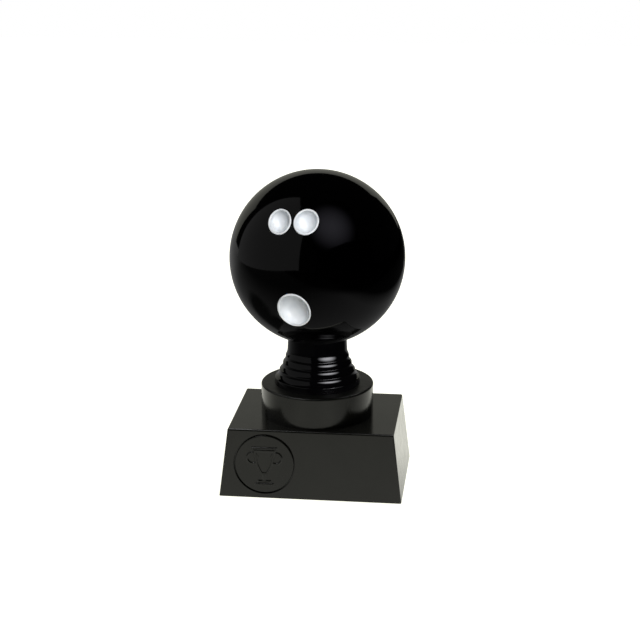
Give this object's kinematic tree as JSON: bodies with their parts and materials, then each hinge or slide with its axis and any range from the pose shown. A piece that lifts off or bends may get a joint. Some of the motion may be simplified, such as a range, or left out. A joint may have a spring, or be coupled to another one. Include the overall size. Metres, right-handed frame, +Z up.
{
  "type": "bowling trophy",
  "caption": "Small bowling award: a glossy black ball with white finger holes on a tiered neck and round riser, on a tapered black plinth with a round emblem.",
  "frame": {"origin": "centre of the underside, on the surface the trophy stands on, on the axis of the tie stud", "axes": "+Z up along the tie stud, -Y out of the plinth's front face, which carries the emblem, +X to the right as seen from the front"},
  "size_m": [0.0782, 0.075, 0.1377],
  "materials": {
    "black_gloss_plastic": "high-gloss moulded ABS",
    "black_satin_plastic": "gloss moulded ABS, slightly softer shine",
    "black_emblem_plastic": "fine satin moulded ABS",
    "white_plastic": "smooth white moulded plastic",
    "grey_cover_plastic": "fine-grained matte",
    "felt": "short-pile felt",
    "ballast_steel": "mill-finish flat bar",
    "zinc_plated_steel": "bright zinc plating"
  },
  "bodies": {
    "plinth": {"plinth_shell": "black_satin_plastic", "riser_disc": "black_satin_plastic", "emblem_disc": "black_emblem_plastic", "base_cover": "grey_cover_plastic", "base_pad": "felt", "ballast_plate": "ballast_steel", "cover_screws": "zinc_plated_steel", "clamp_washer": "zinc_plated_steel"},
    "figure": {"ball_front_shell": "black_gloss_plastic", "ball_rear_shell": "black_gloss_plastic", "finger_cup_left": "white_plastic", "finger_cup_right": "white_plastic", "thumb_cup": "white_plastic", "neck": "black_gloss_plastic", "tie_stud": "zinc_plated_steel", "captive_nut": "zinc_plated_steel", "clamp_nut": "zinc_plated_steel"}
  },
  "joints": [
    {"name": "figure_turn", "type": "hinge", "parent": "plinth", "child": "figure", "pos_m": [0, 0, 0.0445], "axis": [0, 0, 1], "continuous": true}
  ]
}
